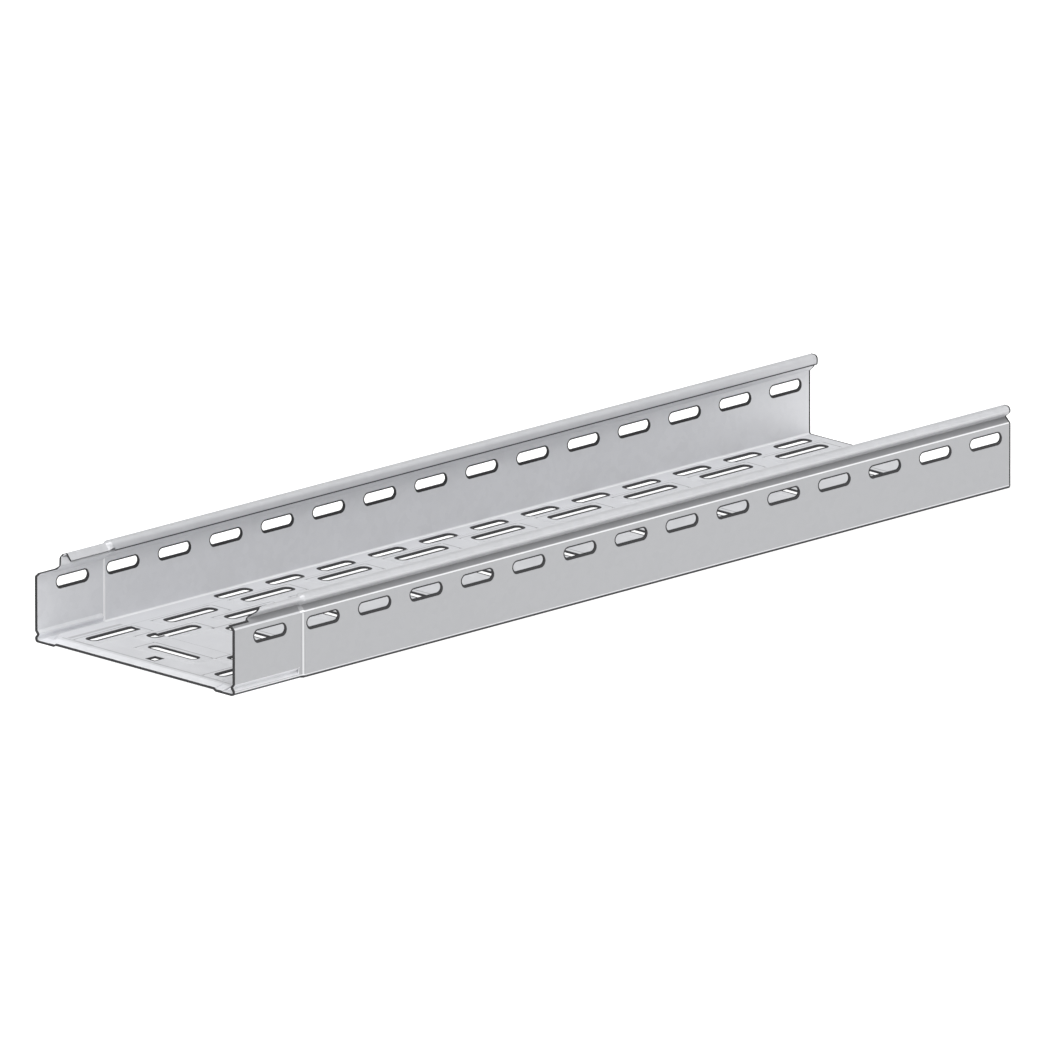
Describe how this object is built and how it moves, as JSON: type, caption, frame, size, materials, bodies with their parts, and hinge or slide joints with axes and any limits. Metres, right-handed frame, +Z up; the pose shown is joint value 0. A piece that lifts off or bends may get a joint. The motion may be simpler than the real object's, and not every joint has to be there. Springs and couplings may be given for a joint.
{
  "type": "cable tray",
  "caption": "Perforated sheet-steel cable tray with rolled side rims and a joggled push-in connector end.",
  "frame": {"origin": "middle of the tray's footprint at the level of its underside, the height it lies at on a level floor", "axes": "+X along the tray from the push-in connector end to the plain end, +Y across the tray, +Z up out of its open side"},
  "size_m": [0.76, 0.2, 0.06],
  "materials": {
    "galvanised_sheet": "strip-galvanised, satin with fine spangle"
  },
  "bodies": {
    "root": {"tray": "galvanised_sheet"}
  },
  "joints": []
}
